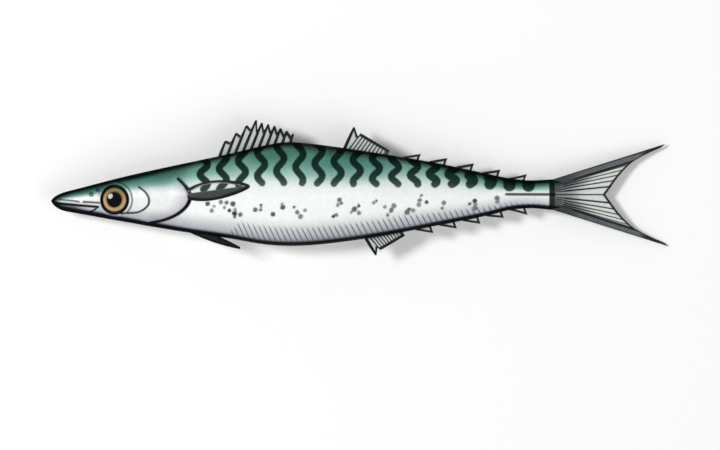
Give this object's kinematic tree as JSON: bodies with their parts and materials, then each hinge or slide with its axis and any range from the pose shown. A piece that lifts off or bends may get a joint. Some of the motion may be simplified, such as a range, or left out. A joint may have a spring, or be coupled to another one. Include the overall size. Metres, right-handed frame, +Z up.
{
  "type": "whole raw fish",
  "caption": "Whole raw mackerel-like fish lying on its side, with a pointed head, spiny and soft back fins, finlets and a forked tail; a kitchen, market or fishing prop.",
  "frame": {"origin": "on the table, under the middle of the fish's bounding box", "axes": "+X from the snout to the tail, +Y towards the fish's back, +Z up, out of its left flank"},
  "size_m": [0.3398, 0.0744, 0.0377],
  "materials": {
    "skin": "wet, silvery, with a teal green back",
    "eye": "wet and glossy, gold ring round a black pupil"
  },
  "bodies": {
    "root": {"fish": "skin", "eye_left": "eye", "eye_right": "eye"}
  },
  "joints": []
}
